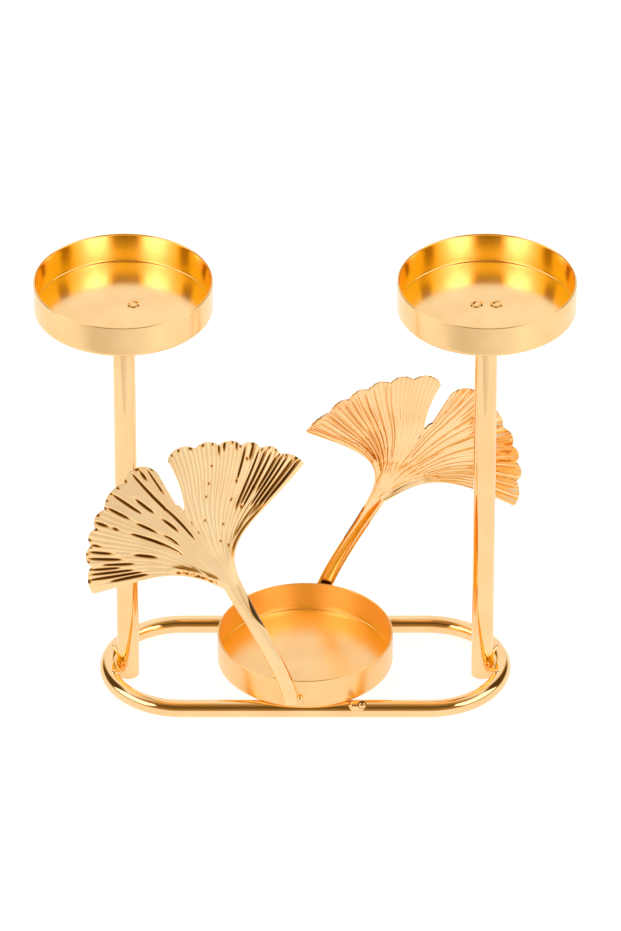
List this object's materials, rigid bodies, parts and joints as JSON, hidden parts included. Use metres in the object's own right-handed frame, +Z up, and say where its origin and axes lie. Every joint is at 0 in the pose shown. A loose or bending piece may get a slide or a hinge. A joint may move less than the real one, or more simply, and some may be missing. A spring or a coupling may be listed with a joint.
{
  "type": "candle holder",
  "caption": "Candle holder with raised round trays on posts, a low centre tray on an oval rod base, and stamped ginkgo leaves on curved stems.",
  "frame": {"origin": "on the table under the middle of the base ring", "axes": "+X along the ring to the right post, +Y to the rear leaf, +Z up; the front leaf is at -Y on the left"},
  "size_m": [0.2418, 0.0846, 0.212],
  "materials": {
    "polished_gold": "mirror-bright gold plating on steel",
    "satin_gold": "satin gold plating on pressed steel",
    "weld_gold": "gold plating over weld metal"
  },
  "bodies": {
    "root": {"base_ring": "polished_gold", "left_post": "polished_gold", "right_post": "polished_gold", "front_leaf": "polished_gold", "rear_leaf": "polished_gold", "left_cup": "satin_gold", "right_cup": "satin_gold", "centre_cup": "satin_gold", "ring_butt_weld": "weld_gold", "left_foot_weld": "weld_gold", "right_foot_weld": "weld_gold", "left_cup_weld": "weld_gold", "right_cup_weld": "weld_gold", "centre_cup_tack_welds": "weld_gold", "front_stem_weld": "weld_gold", "rear_stem_weld": "weld_gold"}
  },
  "joints": []
}
